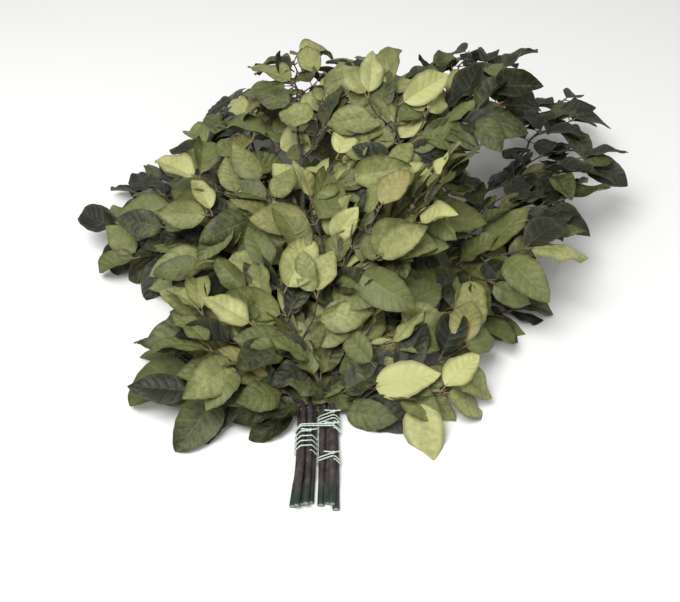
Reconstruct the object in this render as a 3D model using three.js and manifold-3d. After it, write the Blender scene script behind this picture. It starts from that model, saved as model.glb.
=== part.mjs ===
// A tied bunch of preserved beech branches, lying on a table.
//
// Nine bare stems are bound in two handfuls and fan out past the ties. Each stem carries leafy side shoots, called
// sprays here: a zigzag twig with two shorter side twigs, and a leaf at every joint. The sprays are grown one after
// another, and a leaf is only set where it is clear of everything that is already there.
//
// Millimetres, +Z up. The bunch lies along Y with its cut ends towards -Y, and stands on the plane z = 0.

import * as THREE from "three";
import { mergeVertices } from "three/addons/utils/BufferGeometryUtils.js";
import Module from "manifold-3d";

const wasm = await Module();
wasm.setup();

const { Vector3 } = THREE;
const UP = new Vector3(0, 0, 1);
const DOWN = new Vector3(0, 0, -1);
const degrees = THREE.MathUtils.degToRad;

// ---- Driving dimensions -------------------------------------------------------------------------------------

const GAP = 0.35; // left between pieces that touch

const BUNDLE = { x: -49, y: -310 }; // middle of the bound part, between the two handfuls
const HANDFUL_APART = 23.6; // from the middle of one handful to the middle of the other
const SEAT_STEP = 7; // from one stem to the next in a handful
const ROW_RISE = 6.1; // from the lower row of a handful to the upper
const STRAIGHT = 34; // each side of the middle where the stems run parallel
const TAIL = 72; // from the middle of the bound part to the nearest cut end
const TAIL_EXTRA = 9; // how much longer the longest tail is
const TAIL_FLAT = 24; // the end of a tail that lies level on the table
const STEM_STEP = 42; // between the joints of a stem
const TURN = 190; // distance over which a stem swings out to its own direction
const STEM_TIP_RADIUS = 1.5;
const STEM_SIDES = 6;

const TWINE_RADIUS = 0.75;
const TWINE_SIDES = 4;
const TWINE_STEPS = 14; // points of a winding in one turn
const KNOT_RADIUS = 1.8;
const KNOT_RISE = new Vector3(0, 0, 1.3); // from the end of a winding to the middle of its knot
const TWINE_TAILS = [-10, 8]; // how far the loose ends reach to each side of a knot

const TWIG_RADIUS = 1.5;
const SIDE_TWIG_RADIUS = 1.1;
const TWIG_TIP_RADIUS = 0.7;
const TWIG_SIDES = 3;
const TWIG_LOW = 7; // the lowest a twig's middle line comes
const INTERNODE = 25; // between two leaves on a twig
const ZIGZAG = degrees(9);
const FORK = degrees(44); // between a twig and its side twig

const BLADE = 71; // length of an average leaf blade
const BLADE_THICKNESS = 0.8; // at the midrib, tapering to a sharp margin
const PETIOLE = 9; // from the middle of the twig to the blade
const ROOT_BACK = 4; // how far before its joint a petiole springs
const PRESSED = 15; // how far the table may push a drooping tip up
const CLEARANCE = 0.5; // kept around each leaf while the sprays grow
const LEAF_TRIES = 24;
const TWIG_TRIES = 36;
const FIRST_SPRAY = 0.03; // share of a stem's length below its first spray
const LAST_SPRAY = 0.95; // and below where the last would be, were it not for the one at the end
const SHORTEST_EDGE = 0.01; // of a joined solid: shorter ones are closed up
const LOWEST_TRIANGLE = 0.001; // of a joined solid
const SLIDE = 0.01; // how much further up its stem a twig starts at each new try

// Each stem: its place in its handful (seats to the right of the middle, and row from below), its radius where it is
// tied, the way it fans out (swing to the right of +Y and rise, in degrees), its length past the bound part, how many
// sprays it carries, and their seed: another number grows other sprays.
const LEFT = BUNDLE.x - HANDFUL_APART / 2;
const RIGHT = BUNDLE.x + HANDFUL_APART / 2;
const STEMS = [
  { handful: LEFT, seat: -1, row: 0, radius: 3.2, swing: -50, rise: 8, length: 130, sprays: 3, seed: 6 },
  { handful: LEFT, seat: 0, row: 0, radius: 3.4, swing: -32, rise: 9, length: 320, sprays: 5, seed: 1006 },
  { handful: LEFT, seat: 1, row: 0, radius: 3.3, swing: -14, rise: 12, length: 450, sprays: 5, seed: 2006 },
  { handful: LEFT, seat: -0.5, row: 1, radius: 3.1, swing: -25, rise: 24, length: 290, sprays: 4, seed: 3006 },
  { handful: LEFT, seat: 0.5, row: 1, radius: 3.3, swing: -4, rise: 32, length: 430, sprays: 6, seed: 4006 },
  { handful: RIGHT, seat: -1, row: 0, radius: 3.4, swing: 9, rise: 16, length: 490, sprays: 5, seed: 5009 },
  { handful: RIGHT, seat: 0, row: 0, radius: 3.2, swing: 38, rise: 12, length: 500, sprays: 6, seed: 6006 },
  { handful: RIGHT, seat: 1, row: 0, radius: 3.4, swing: 62, rise: 8, length: 170, sprays: 3, seed: 7006 },
  { handful: RIGHT, seat: 0.5, row: 1, radius: 3.3, swing: 22, rise: 30, length: 470, sprays: 6, seed: 8006 },
];

const bark = new THREE.MeshStandardMaterial({ color: 0x4d443f, roughness: 0.8, metalness: 0 });
const foliage = new THREE.MeshStandardMaterial({ color: 0x868a58, roughness: 0.6, metalness: 0 });
const twine = new THREE.MeshStandardMaterial({ color: 0xc3d3c4, roughness: 0.7, metalness: 0 });

// ---- Small helpers ------------------------------------------------------------------------------------------

// A repeatable series of numbers from 0 to 1 (the Park-Miller series), so that every build grows the same bunch.
function series(seed) {
  const MODULUS = 2147483647;
  const MULTIPLIER = 48271;
  let state = (seed * 69621 + 12345) % MODULUS;
  const next = () => {
    state = (state * MULTIPLIER) % MODULUS;
    return state / MODULUS;
  };
  next();
  next();
  return next;
}

// From 0 to 1 with a level start and end.
function ease(t) {
  const clamped = Math.min(Math.max(t, 0), 1);
  return clamped * clamped * (3 - 2 * clamped);
}

// The direction that swings `swing` to the right of +Y and rises by `rise`.
function heading(swing, rise) {
  return new Vector3(
    Math.sin(swing) * Math.cos(rise),
    Math.cos(swing) * Math.cos(rise),
    Math.sin(rise),
  );
}

// The part of `vector` at right angles to `direction`, at unit length.
function squareTo(vector, direction) {
  return vector.clone().addScaledVector(direction, -vector.dot(direction)).normalize();
}

function solidOf(vertices, triangles) {
  const geometry = new THREE.BufferGeometry();
  geometry.setAttribute("position", new THREE.Float32BufferAttribute(vertices.flatMap((v) => v.toArray()), 3));
  geometry.setIndex(triangles.flat());
  const merged = mergeVertices(geometry, 1e-4);
  return new wasm.Manifold(
    new wasm.Mesh({
      numProp: 3,
      vertProperties: merged.attributes.position.array,
      triVerts: new Uint32Array(merged.index.array),
    }),
  );
}

// Triangles between two rings of `sides` points each, which start at these places in the list of points.
function band(from, to, sides) {
  return Array.from({ length: sides }, (_, i) => {
    const j = (i + 1) % sides;
    return [
      [from + i, from + j, to + j],
      [from + i, to + j, to + i],
    ];
  }).flat();
}

// A rod along `points`, with its own radius at each and flat ends. One flat of its sections faces towards `facing`.
function rod(points, radii, sides, facing) {
  const vertices = points.flatMap((point, i) => {
    const ahead = points[Math.min(i + 1, points.length - 1)];
    const behind = points[Math.max(i - 1, 0)];
    const along = ahead.clone().sub(behind).normalize();
    const out = squareTo(facing, along);
    const across = new Vector3().crossVectors(along, out);
    return Array.from({ length: sides }, (_, k) => {
      const angle = ((k + 0.5) / sides) * 2 * Math.PI;
      return point
        .clone()
        .addScaledVector(out, radii[i] * Math.cos(angle))
        .addScaledVector(across, radii[i] * Math.sin(angle));
    });
  });
  const last = (points.length - 1) * sides;
  const triangles = points.slice(1).flatMap((_, i) => band(i * sides, (i + 1) * sides, sides));
  for (let k = 1; k < sides - 1; k += 1) {
    triangles.push([0, k + 1, k], [last, last + k, last + k + 1]);
  }
  return solidOf(vertices, triangles);
}

// ---- Stems --------------------------------------------------------------------------------------------------

const FIRST_FREE_JOINT = 4; // the joint where a stem leaves the bound part

const seatX = (stem) => stem.handful + stem.seat * SEAT_STEP;

// The height of a stem's middle line where a flat of its tail lies on the table, or on the row below.
const lyingHeight = (stem) => stem.radius * Math.cos(Math.PI / STEM_SIDES) + stem.row * ROW_RISE;

// The same in the bound part, which lies on its twine.
const boundHeight = (stem) => stem.radius + stem.row * ROW_RISE + 2 * TWINE_RADIUS + GAP;

// A stem's joints from its cut end to its tip. The tail lies level, lifts over the twine, runs straight through the
// bound part, then swings out and up, and droops towards the tip.
function stemJoints(stem, index) {
  const tail = TAIL + TAIL_EXTRA * series(index + 1)();
  const x = seatX(stem);
  const splay = 0.2 * Math.min(x - BUNDLE.x, 0) + 0.35 * stem.seat;
  const joints = [
    new Vector3(x + splay, BUNDLE.y - tail, lyingHeight(stem)),
    new Vector3(x + (2 / 3) * splay, BUNDLE.y - tail + (2 / 3) * TAIL_FLAT, lyingHeight(stem)),
    new Vector3(x + splay / 2, BUNDLE.y - tail + TAIL_FLAT, lyingHeight(stem)),
    new Vector3(x, BUNDLE.y - STRAIGHT, boundHeight(stem)),
    new Vector3(x, BUNDLE.y + STRAIGHT, boundHeight(stem)),
  ];
  const steps = Math.round(stem.length / STEM_STEP);
  for (let k = 0; k < steps; k += 1) {
    const turned = ease(((k + 1) * STEM_STEP) / TURN);
    const share = (k + 1) / steps;
    const swing = degrees(turned * (stem.swing + 4 * Math.sin(1.7 * k + index)));
    const rise = degrees(turned * (stem.rise + 2 * Math.sin(1.3 * k + 2 * index)) - 0.8 * stem.rise * share ** 2);
    joints.push(joints.at(-1).clone().addScaledVector(heading(swing, rise), STEM_STEP));
  }
  return joints;
}

// The radius stays the same through the bound part, then tapers evenly to the tip.
function stemRadii(stem, joints) {
  return joints.map((_, i) => {
    const share = Math.max(0, i - FIRST_FREE_JOINT) / (joints.length - 1 - FIRST_FREE_JOINT);
    return stem.radius + (STEM_TIP_RADIUS - stem.radius) * share;
  });
}

// The point, direction and radius of a grown stem at a share of its way from the bound part to its tip.
function stemAt(grown, share) {
  const place = FIRST_FREE_JOINT + share * (grown.joints.length - 1 - FIRST_FREE_JOINT);
  const i = Math.min(Math.floor(place), grown.joints.length - 2);
  const [a, b] = [grown.joints[i], grown.joints[i + 1]];
  return {
    point: a.clone().lerp(b, place - i),
    along: b.clone().sub(a).normalize(),
    radius: grown.radii[i] + (grown.radii[i + 1] - grown.radii[i]) * (place - i),
  };
}

// ---- Ties ---------------------------------------------------------------------------------------------------

// The middle line of twine wound tightly round these stems: `turns` times from `y`, `pitch` apart. Seen along the
// bunch it is the line around circles, each as big as its stem, the gap and the twine together.
function windingPoints(stems, y, pitch, turns) {
  const circles = stems.map((stem) => ({
    x: seatX(stem),
    z: boundHeight(stem),
    radius: stem.radius + GAP + TWINE_RADIUS,
  }));
  return Array.from({ length: TWINE_STEPS * turns + 1 }, (_, k) => {
    const angle = ((k + 0.5) / TWINE_STEPS) * 2 * Math.PI;
    const [outX, outZ] = [Math.sin(angle), Math.cos(angle)];
    const reach = (circle) => circle.x * outX + circle.z * outZ + circle.radius;
    const outer = circles.reduce((best, circle) => (reach(circle) > reach(best) ? circle : best));
    return new Vector3(
      outer.x + outer.radius * outX,
      y + (pitch * k) / TWINE_STEPS,
      outer.z + outer.radius * outZ,
    );
  });
}

const twineRod = (points, facing) => rod(points, points.map(() => TWINE_RADIUS), TWINE_SIDES, facing);

// The knot that ends a winding, with a short tail to each side.
function knotSolids(end) {
  const middle = end.clone().add(KNOT_RISE);
  const bead = new THREE.IcosahedronGeometry(KNOT_RADIUS, 1).translate(...middle.toArray());
  const corners = bead.attributes.position;
  const beadPoints = Array.from({ length: corners.count }, (_, i) => new Vector3().fromBufferAttribute(corners, i));
  const beadTriangles = Array.from({ length: corners.count / 3 }, (_, i) => [3 * i, 3 * i + 1, 3 * i + 2]);
  const tails = TWINE_TAILS.map((reach) => {
    const bend = middle.clone().add(new Vector3(0.55 * reach, 0.6, 0.5));
    return twineRod([middle, bend, middle.clone().add(new Vector3(reach, 1.6, -0.4))], UP);
  });
  return [solidOf(beadPoints, beadTriangles), ...tails];
}

// ---- Leaves -------------------------------------------------------------------------------------------------

// Half of a blade's width as a share of its widest half width, at a share of the way from base to tip.
const bladeOutline = (along) => (along ** 0.62 * (1 - along) ** 0.9) / 0.3579;

// The middle of a blade's thickness and the way its upper side faces, `along` its midrib from base 0 to tip 1 and
// `across` millimetres to the right. The midrib bends down in an arc, the blade twists, its halves fold up, and
// what would reach below the table lies on it.
function bladeAt(leaf, along, across) {
  const turned = leaf.bend * along;
  const [sine, cosine] = [Math.sin(turned), Math.cos(turned)];
  const bent = leaf.up.clone().multiplyScalar(cosine).addScaledVector(leaf.forward, sine);
  const roll = leaf.twist * along;
  const side = leaf.side.clone().multiplyScalar(Math.cos(roll)).addScaledVector(bent, Math.sin(roll));
  const up = bent.multiplyScalar(Math.cos(roll)).addScaledVector(leaf.side, -Math.sin(roll));
  const point = leaf.base
    .clone()
    .addScaledVector(leaf.forward, (leaf.length * sine) / leaf.bend)
    .addScaledVector(leaf.up, (-leaf.length * (1 - cosine)) / leaf.bend)
    .addScaledVector(side, across * Math.cos(leaf.fold))
    .addScaledVector(up, Math.abs(across) * Math.sin(leaf.fold));
  const height = point.z;
  point.z = Math.max(height, BLADE_THICKNESS / 2);
  return { point, up, height };
}

// A leaf as a closed solid: a three-sided petiole that runs to a point inside the twig, then a blade with a ridge
// along both sides of its midrib. `margin` makes it that much larger all round. The upper and lower faces are split
// along the same lines, so that they keep apart on a twisted blade.
function leafSolid(leaf, margin = 0, withPetiole = true) {
  const ring = (along, half) => {
    const middle = bladeAt(leaf, along, 0);
    const thick = BLADE_THICKNESS / 2 + margin;
    return {
      left: bladeAt(leaf, along, -half - margin).point,
      below: middle.point.clone().addScaledVector(middle.up, -thick),
      right: bladeAt(leaf, along, half + margin).point,
      above: middle.point.clone().addScaledVector(middle.up, thick),
    };
  };
  const half = (along) => (leaf.width / 2) * bladeOutline(along);
  const [neck, low, high] = [ring(0.02, 0.8), ring(0.27, half(0.27)), ring(0.66, half(0.66))];
  const root = withPetiole ? leaf.root : leaf.base.clone().addScaledVector(leaf.forward, -margin);
  const tip = bladeAt(leaf, 1 + margin / leaf.length, 0).point;
  const vertices = [
    ...[root, neck.left, neck.below, neck.right],
    ...[low.left, low.below, low.right, low.above],
    ...[high.left, high.below, high.right, high.above, tip],
  ];
  const triangles = [
    ...[[0, 2, 1], [0, 3, 2], [0, 1, 3]],
    ...[[1, 2, 5], [1, 5, 4], [2, 3, 5], [3, 6, 5], [3, 7, 6], [3, 1, 7], [1, 4, 7]],
    ...[[4, 5, 8], [5, 9, 8], [5, 6, 10], [5, 10, 9]],
    ...[[6, 7, 10], [7, 11, 10], [7, 4, 8], [7, 8, 11]],
    ...[[12, 8, 9], [12, 9, 10], [12, 10, 11], [12, 11, 8]],
  ];
  return solidOf(vertices, triangles);
}

// One try at a leaf at a twig's joint. `hand` is the side of the twig it grows on, or 0 at the twig's end. Later
// tries stray further from the plain direction, and are a little smaller.
function leafTry(joint, twig, hand, size, attempt, next) {
  const loose = 1 + 0.12 * attempt;
  const away = hand * degrees(34 + 30 * next());
  const forward = joint.along.clone().applyAxisAngle(twig.up, away);
  forward.z += loose * (0.4 * next() - 0.26);
  forward.normalize();
  const lean = loose * (next() - 0.5) * 0.8;
  const up = squareTo(twig.up.clone().addScaledVector(joint.across, lean), forward);
  const length = BLADE * size * (0.86 + 0.28 * next()) * (1 - 0.012 * attempt);
  const root = joint.point.clone().addScaledVector(joint.along, -ROOT_BACK);
  return {
    root,
    base: root.clone().addScaledVector(forward, PETIOLE),
    forward,
    up,
    side: new Vector3().crossVectors(up, forward),
    length,
    width: length * (0.56 + 0.1 * next()),
    bend: degrees(12 + 45 * next()),
    twist: degrees(44 * (next() - 0.5)),
    fold: degrees(6 + 26 * next()),
  };
}

// ---- Sprays -------------------------------------------------------------------------------------------------

// A zigzag twig of `count` internodes from `start`, in the plane square to `up`. It droops, but stays off the table.
function zigzagTwig(start, along, up, count, radius, firstHand) {
  const joints = [{ point: start, along }];
  for (let k = 0; k < count; k += 1) {
    const way = along.clone().applyAxisAngle(up, (k % 2 ? firstHand : -firstHand) * ZIGZAG);
    way.z -= 0.04 * k;
    way.normalize();
    const point = joints.at(-1).point.clone().addScaledVector(way, k ? INTERNODE : 0.8 * INTERNODE);
    point.z = Math.max(point.z, TWIG_LOW);
    joints.push({ point, along: point.clone().sub(joints.at(-1).point).normalize() });
  }
  joints.forEach((joint) => {
    joint.across = new Vector3().crossVectors(joint.along, up).normalize();
  });
  const radii = joints.map((_, k) => radius + (TWIG_TIP_RADIUS - radius) * (k / count));
  return { joints, radii, up, firstHand };
}

// One try at the three twigs of a spray. The last spray on a stem grows on in the stem's own direction.
function twigsTry(place, stem, firstHand, terminal, attempt, next) {
  const hand = attempt % 2 ? -firstHand : firstHand;
  const across = new Vector3().crossVectors(place.along, UP).normalize();
  const lift = squareTo(UP, place.along);
  const roll = degrees(stem.row ? 10 + 65 * next() : 38 * next());
  const away = terminal ? degrees(14 * next()) : degrees(stem.row ? 28 + 28 * next() : 40 + 26 * next());
  const along = place.along
    .clone()
    .multiplyScalar(Math.cos(away))
    .addScaledVector(across, hand * Math.sin(away) * Math.cos(roll))
    .addScaledVector(lift, Math.sin(away) * Math.sin(roll));
  const sideways = new Vector3().crossVectors(along, UP);
  const up = squareTo(UP.clone().addScaledVector(sideways, 0.8 * (next() - 0.5)), along);
  const reach = terminal ? GAP : (place.radius + GAP + TWIG_RADIUS) / Math.sin(away);
  const start = place.point.clone().addScaledVector(along, reach);
  const main = zigzagTwig(start, along, up, 5 + Math.round(1.4 * next()), TWIG_RADIUS, hand);
  const sides = [1, 2].map((k) => {
    const fork = main.joints[k];
    const turn = k % 2 ? hand : -hand;
    const way = fork.along.clone().applyAxisAngle(up, turn * FORK);
    return zigzagTwig(fork.point, way, up, 3, SIDE_TWIG_RADIUS, turn);
  });
  return [main, ...sides];
}

// The leaves wanted on a twig: at each joint past its side twigs, on alternate sides, and one more at its end.
function leafSites(twig, isSide) {
  const last = twig.joints.length - 1;
  return twig.joints.flatMap((joint, k) => {
    if (k < (isSide ? 1 : 3)) return [];
    const hand = k % 2 ? -twig.firstHand : twig.firstHand;
    const size = (isSide ? 0.9 : 1) * (0.8 + 0.24 * Math.sin((Math.PI * (k + 0.4)) / (last + 1)));
    const sites = [{ joint, twig, hand, size }];
    if (k === last) sites.push({ joint, twig, hand: 0, size: size * 0.96 });
    return sites;
  });
}

const twigSolid = (twig, extra) =>
  rod(twig.joints.map((joint) => joint.point), twig.radii.map((radius) => radius + extra), TWIG_SIDES, twig.up);

// Everything grown so far: its solid, that solid's box, and the stem or spray it belongs to.
const grown = [];

function keep(solid, owner) {
  grown.push({ solid, owner, box: solid.boundingBox() });
}

// Whether a solid touches none of the others.
function isClear(solid, others) {
  const box = solid.boundingBox();
  return others.every(
    (other) =>
      [0, 1, 2].some((i) => box.min[i] > other.box.max[i] || box.max[i] < other.box.min[i]) ||
      solid.intersect(other.solid).isEmpty(),
  );
}

const join = (whole, piece) => whole.add(piece).simplify(SHORTEST_EDGE);

// Whether a joined solid is free of slivers, which would be lost when it is written to a file.
function isSound(solid) {
  const { vertProperties, triVerts } = solid.getMesh();
  const corner = (i) => new Vector3().fromArray(vertProperties, 3 * triVerts[i]);
  for (let i = 0; i < triVerts.length; i += 3) {
    const [a, b, c] = [corner(i), corner(i + 1), corner(i + 2)];
    const longest = Math.max(a.distanceTo(b), b.distanceTo(c), c.distanceTo(a));
    const doubleArea = b.sub(a).cross(c.sub(a)).length();
    if (doubleArea < LOWEST_TRIANGLE * longest) return false;
  }
  return true;
}

// Grows one spray and gives its twigs and leaves joined in one solid, or null where there is no room for its twigs.
function growSpray(name, seed, grownStem, share, hand, terminal) {
  const { stem } = grownStem;
  const others = [...grown];
  const strangers = others.filter((other) => other.owner !== stem);
  let twigs = null;
  let whole = null;
  for (let attempt = 0; attempt < TWIG_TRIES && !twigs; attempt += 1) {
    const place = stemAt(grownStem, terminal ? share : share + SLIDE * attempt);
    const tried = twigsTry(place, stem, hand, terminal, attempt, series(seed + 7 * attempt));
    const roomy = tried.every((twig) => isClear(twigSolid(twig, CLEARANCE), strangers));
    const woods = tried.map((twig) => twigSolid(twig, 0));
    if (!roomy || !woods.every((wood) => isClear(wood, others))) continue;
    whole = woods.reduce(join);
    if (!isSound(whole)) continue;
    woods.forEach((wood) => keep(wood, name));
    twigs = tried;
  }
  if (!twigs) return null;
  twigs
    .flatMap((twig, t) => leafSites(twig, t > 0))
    .forEach((site, i) => {
      const next = series(seed + 100 + 13 * i);
      for (let attempt = 0; attempt < LEAF_TRIES; attempt += 1) {
        const leaf = leafTry(site.joint, site.twig, site.hand, site.size, attempt, next);
        if (bladeAt(leaf, 1, 0).height < -PRESSED) continue;
        const blade = leafSolid(leaf, CLEARANCE, false);
        const own = grown.filter((o) => o.owner === name);
        if (!isClear(blade, own) || !isClear(leafSolid(leaf, CLEARANCE), others)) continue;
        const solid = leafSolid(leaf);
        const joined = join(whole, solid);
        if (!isSound(joined)) continue;
        keep(solid, name);
        whole = joined;
        break;
      }
    });
  return whole;
}

// ---- The bunch ----------------------------------------------------------------------------------------------

const bunch = new THREE.Group();

function addMesh(name, solid, material) {
  const mesh = solid.getMesh();
  const geometry = new THREE.BufferGeometry();
  geometry.setAttribute("position", new THREE.BufferAttribute(new Float32Array(mesh.vertProperties), 3));
  geometry.setIndex(new THREE.BufferAttribute(mesh.triVerts, 1));
  const made = new THREE.Mesh(geometry, material);
  made.name = name;
  bunch.add(made);
}

const number = (i) => String(i + 1).padStart(2, "0");

const stems = STEMS.map((stem, i) => {
  const joints = stemJoints(stem, i);
  const radii = stemRadii(stem, joints);
  const solid = rod(joints, radii, STEM_SIDES, DOWN);
  keep(solid, stem);
  addMesh(`stem_${number(i)}`, solid, bark);
  return { stem, joints, radii };
});

const handfulOf = (middle) => STEMS.filter((stem) => stem.handful === middle);
const TIES = [
  { name: "tie_left", stems: handfulOf(LEFT), y: BUNDLE.y - 18, pitch: 6.2, turns: 4 },
  { name: "tie_right", stems: handfulOf(RIGHT), y: BUNDLE.y - 29, pitch: 3.6, turns: 2 },
  { name: "tie_right_upper", stems: handfulOf(RIGHT), y: BUNDLE.y + 19, pitch: 4.2, turns: 3 },
  { name: "tie_both", stems: STEMS, y: BUNDLE.y + 11, pitch: 2.3, turns: 2 },
];
TIES.forEach((tie) => {
  const points = windingPoints(tie.stems, tie.y, tie.pitch, tie.turns);
  const solid = [twineRod(points, new Vector3(0, 1, 0)), ...knotSolids(points.at(-1))].reduce(join);
  keep(solid, tie.name);
  addMesh(tie.name, solid, twine);
});

// The spray at a stem's end comes first, and then the side sprays from the ties upwards. All stems grow their
// next spray together.
const MOST_SPRAYS = Math.max(...STEMS.map((stem) => stem.sprays));
for (let j = 0; j < MOST_SPRAYS; j += 1) {
  stems.forEach((grownStem, i) => {
    const { stem } = grownStem;
    if (j >= stem.sprays) return;
    const terminal = j === 0;
    const share = terminal ? 1 : FIRST_SPRAY + (LAST_SPRAY - FIRST_SPRAY) * ((j - 1) / (stem.sprays - 1));
    const hand = (i + j) % 2 ? 1 : -1;
    const name = `spray_${number(i)}${"abcdef"[j]}`;
    const spray = growSpray(name, stem.seed + 170 * j, grownStem, share, hand, terminal);
    if (spray) addMesh(name, spray, foliage);
  });
}
export default bunch;
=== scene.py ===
"""A tied bunch of preserved beech branches: leaves, twigs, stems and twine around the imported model.

The growing rules that placed the solids are repeated here in millimetres. A try at a twig or a leaf is the one that
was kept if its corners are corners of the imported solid, so every leaf and twig lies where its solid does.
"""

import math

import bpy
import numpy as np
from bpy.props import FloatProperty, FloatVectorProperty, IntProperty, PointerProperty
from mathutils.kdtree import KDTree
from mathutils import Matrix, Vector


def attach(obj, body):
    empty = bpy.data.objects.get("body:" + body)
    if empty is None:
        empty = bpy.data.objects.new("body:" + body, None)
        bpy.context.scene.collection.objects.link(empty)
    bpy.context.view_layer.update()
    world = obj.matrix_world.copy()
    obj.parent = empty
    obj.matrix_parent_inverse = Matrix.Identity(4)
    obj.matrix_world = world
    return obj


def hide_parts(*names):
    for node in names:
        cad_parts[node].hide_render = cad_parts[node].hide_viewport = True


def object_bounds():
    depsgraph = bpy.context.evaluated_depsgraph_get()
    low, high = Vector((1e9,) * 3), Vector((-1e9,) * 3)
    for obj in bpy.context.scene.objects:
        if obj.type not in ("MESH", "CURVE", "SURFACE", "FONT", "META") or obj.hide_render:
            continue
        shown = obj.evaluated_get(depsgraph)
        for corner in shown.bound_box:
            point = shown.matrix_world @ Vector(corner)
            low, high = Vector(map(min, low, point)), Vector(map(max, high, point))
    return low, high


bl_info = {
    "name": "Beech Branches",
    "version": (1, 0, 0),
    "blender": (4, 5, 0),
    "location": "View3D > Sidebar > Branches",
    "description": "Builds a tied bunch of preserved beech branches",
    "category": "Object",
}

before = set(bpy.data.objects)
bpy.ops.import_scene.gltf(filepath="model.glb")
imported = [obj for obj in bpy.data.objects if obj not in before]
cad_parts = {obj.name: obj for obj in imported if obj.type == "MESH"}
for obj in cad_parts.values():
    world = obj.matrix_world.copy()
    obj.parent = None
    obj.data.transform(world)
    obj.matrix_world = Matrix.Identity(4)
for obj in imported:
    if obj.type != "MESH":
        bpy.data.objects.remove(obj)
CAD_BOX = [list(corner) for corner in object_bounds()]

MM = 0.001
UP = np.array([0.0, 0.0, 1.0])

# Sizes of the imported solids, in millimetres

GAP = 0.35
BUNDLE_X, BUNDLE_Y = -49.0, -310.0
HANDFUL_APART = 23.6
SEAT_STEP = 7.0
ROW_RISE = 6.1
STRAIGHT = 34.0
TAIL = 72.0
TAIL_EXTRA = 9.0
TAIL_FLAT = 24.0
STEM_STEP = 42.0
TURN = 190.0
STEM_TIP_RADIUS = 1.5
STEM_SIDES = 6
FIRST_FREE_JOINT = 4
TWINE_RADIUS = 0.75
TWIG_RADIUS = 1.5
SIDE_TWIG_RADIUS = 1.1
TWIG_TIP_RADIUS = 0.7
TWIG_LOW = 7.0
INTERNODE = 25.0
ZIGZAG = math.radians(9)
FORK = math.radians(44)
BLADE = 71.0
PETIOLE = 9.0
ROOT_BACK = 4.0
PRESSED = 15.0
LEAF_TRIES = 24
TWIG_TRIES = 36
FIRST_SPRAY, LAST_SPRAY = 0.03, 0.95
SLIDE = 0.01
SAME_POINT = 0.01
TIP_LIFT = 0.4
SPRAY_SEED_STEP = 170
TWIG_SEED_STEP = 7
LEAF_SEED, LEAF_SEED_STEP = 100, 13

# Leaves that only the finished bunch has
INNER_SEED, INNER_SEED_STEP = 3000, 19
INNER_TRIES = 8
INNER_CLEARANCE = 9.0
# Painted shade: how much the tone of an inner leaf is lowered, for the shade inside the bunch
INNER_PAINTED_SHADE = 0.34
INNER_MARGIN = 6.0
LOW_SHARE = 0.2
SPURS = 3

LEFT = BUNDLE_X - HANDFUL_APART / 2
RIGHT = BUNDLE_X + HANDFUL_APART / 2
STEM_FACTS = ("handful", "seat", "row", "radius", "swing", "rise", "length", "sprays", "seed")
STEMS = [
    dict(zip(STEM_FACTS, facts))
    for facts in (
        (LEFT, -1, 0, 3.2, -50, 8, 130, 3, 6),
        (LEFT, 0, 0, 3.4, -32, 9, 320, 5, 1006),
        (LEFT, 1, 0, 3.3, -14, 12, 450, 5, 2006),
        (LEFT, -0.5, 1, 3.1, -25, 24, 290, 4, 3006),
        (LEFT, 0.5, 1, 3.3, -4, 32, 430, 6, 4006),
        (RIGHT, -1, 0, 3.4, 9, 16, 490, 5, 5009),
        (RIGHT, 0, 0, 3.2, 38, 12, 500, 6, 6006),
        (RIGHT, 1, 0, 3.4, 62, 8, 170, 3, 7006),
        (RIGHT, 0.5, 1, 3.3, 22, 30, 470, 6, 8006),
    )
]
HANDFULS = {
    "left": [stem for stem in STEMS if stem["handful"] == LEFT],
    "right": [stem for stem in STEMS if stem["handful"] == RIGHT],
    "both": STEMS,
}
# Each tie: its CAD node, the stems it holds, its first winding's place, the pitch and the number of turns.
TIES = (
    ("tie_left", "left", BUNDLE_Y - 18, 6.2, 4),
    ("tie_right", "right", BUNDLE_Y - 29, 3.6, 2),
    ("tie_right_upper", "right", BUNDLE_Y + 19, 4.2, 3),
    ("tie_both", "both", BUNDLE_Y + 11, 2.3, 2),
)
KNOT_RISE = np.array([0.0, 0.0, 1.3])
TWINE_TAILS = (-10.0, 8.0)

# Growing rules


def series(seed):
    """A repeatable series of numbers from 0 to 1: each state is the last one times 48271, modulo 2^31 - 1."""
    modulus, multiplier = 2147483647, 48271
    state = (seed * 69621 + 12345) % modulus

    def advance():
        nonlocal state
        state = state * multiplier % modulus
        return state / modulus

    advance()
    advance()
    return advance


def ease(share):
    """From 0 to 1 with a level start and end: 3 t squared less 2 t cubed."""
    t = np.clip(share, 0.0, 1.0)
    return t * t * (3 - 2 * t)


def unit(vector):
    """Vectors at unit length."""
    return vector / np.maximum(np.linalg.norm(vector, axis=-1, keepdims=True), 1e-12)


def square_to(vector, direction):
    """The part of each vector at right angles to its direction, at unit length."""
    return unit(vector - (vector * direction).sum(-1, keepdims=True) * direction)


def turned_about(vector, axis, angle):
    """A vector turned about a unit axis, by Rodrigues' formula."""
    along = axis * vector.dot(axis) * (1 - math.cos(angle))
    return vector * math.cos(angle) + np.cross(axis, vector) * math.sin(angle) + along


def heading(swing, rise):
    """The direction that swings to the right of +Y and rises, in radians."""
    return np.array([math.sin(swing) * math.cos(rise), math.cos(swing) * math.cos(rise), math.sin(rise)])


def way_along(points):
    """How far along a path each of its points lies."""
    return np.concatenate([[0], np.cumsum(np.linalg.norm(np.diff(points, axis=0), axis=1))])


def hand_at(twig, k):
    """The side, 1 or -1, on which a twig's joint k bears its leaf."""
    return -twig["first_hand"] if k % 2 else twig["first_hand"]


def seat_x(stem):
    return stem["handful"] + stem["seat"] * SEAT_STEP


def bound_height(stem):
    return stem["radius"] + stem["row"] * ROW_RISE + 2 * TWINE_RADIUS + GAP


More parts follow.
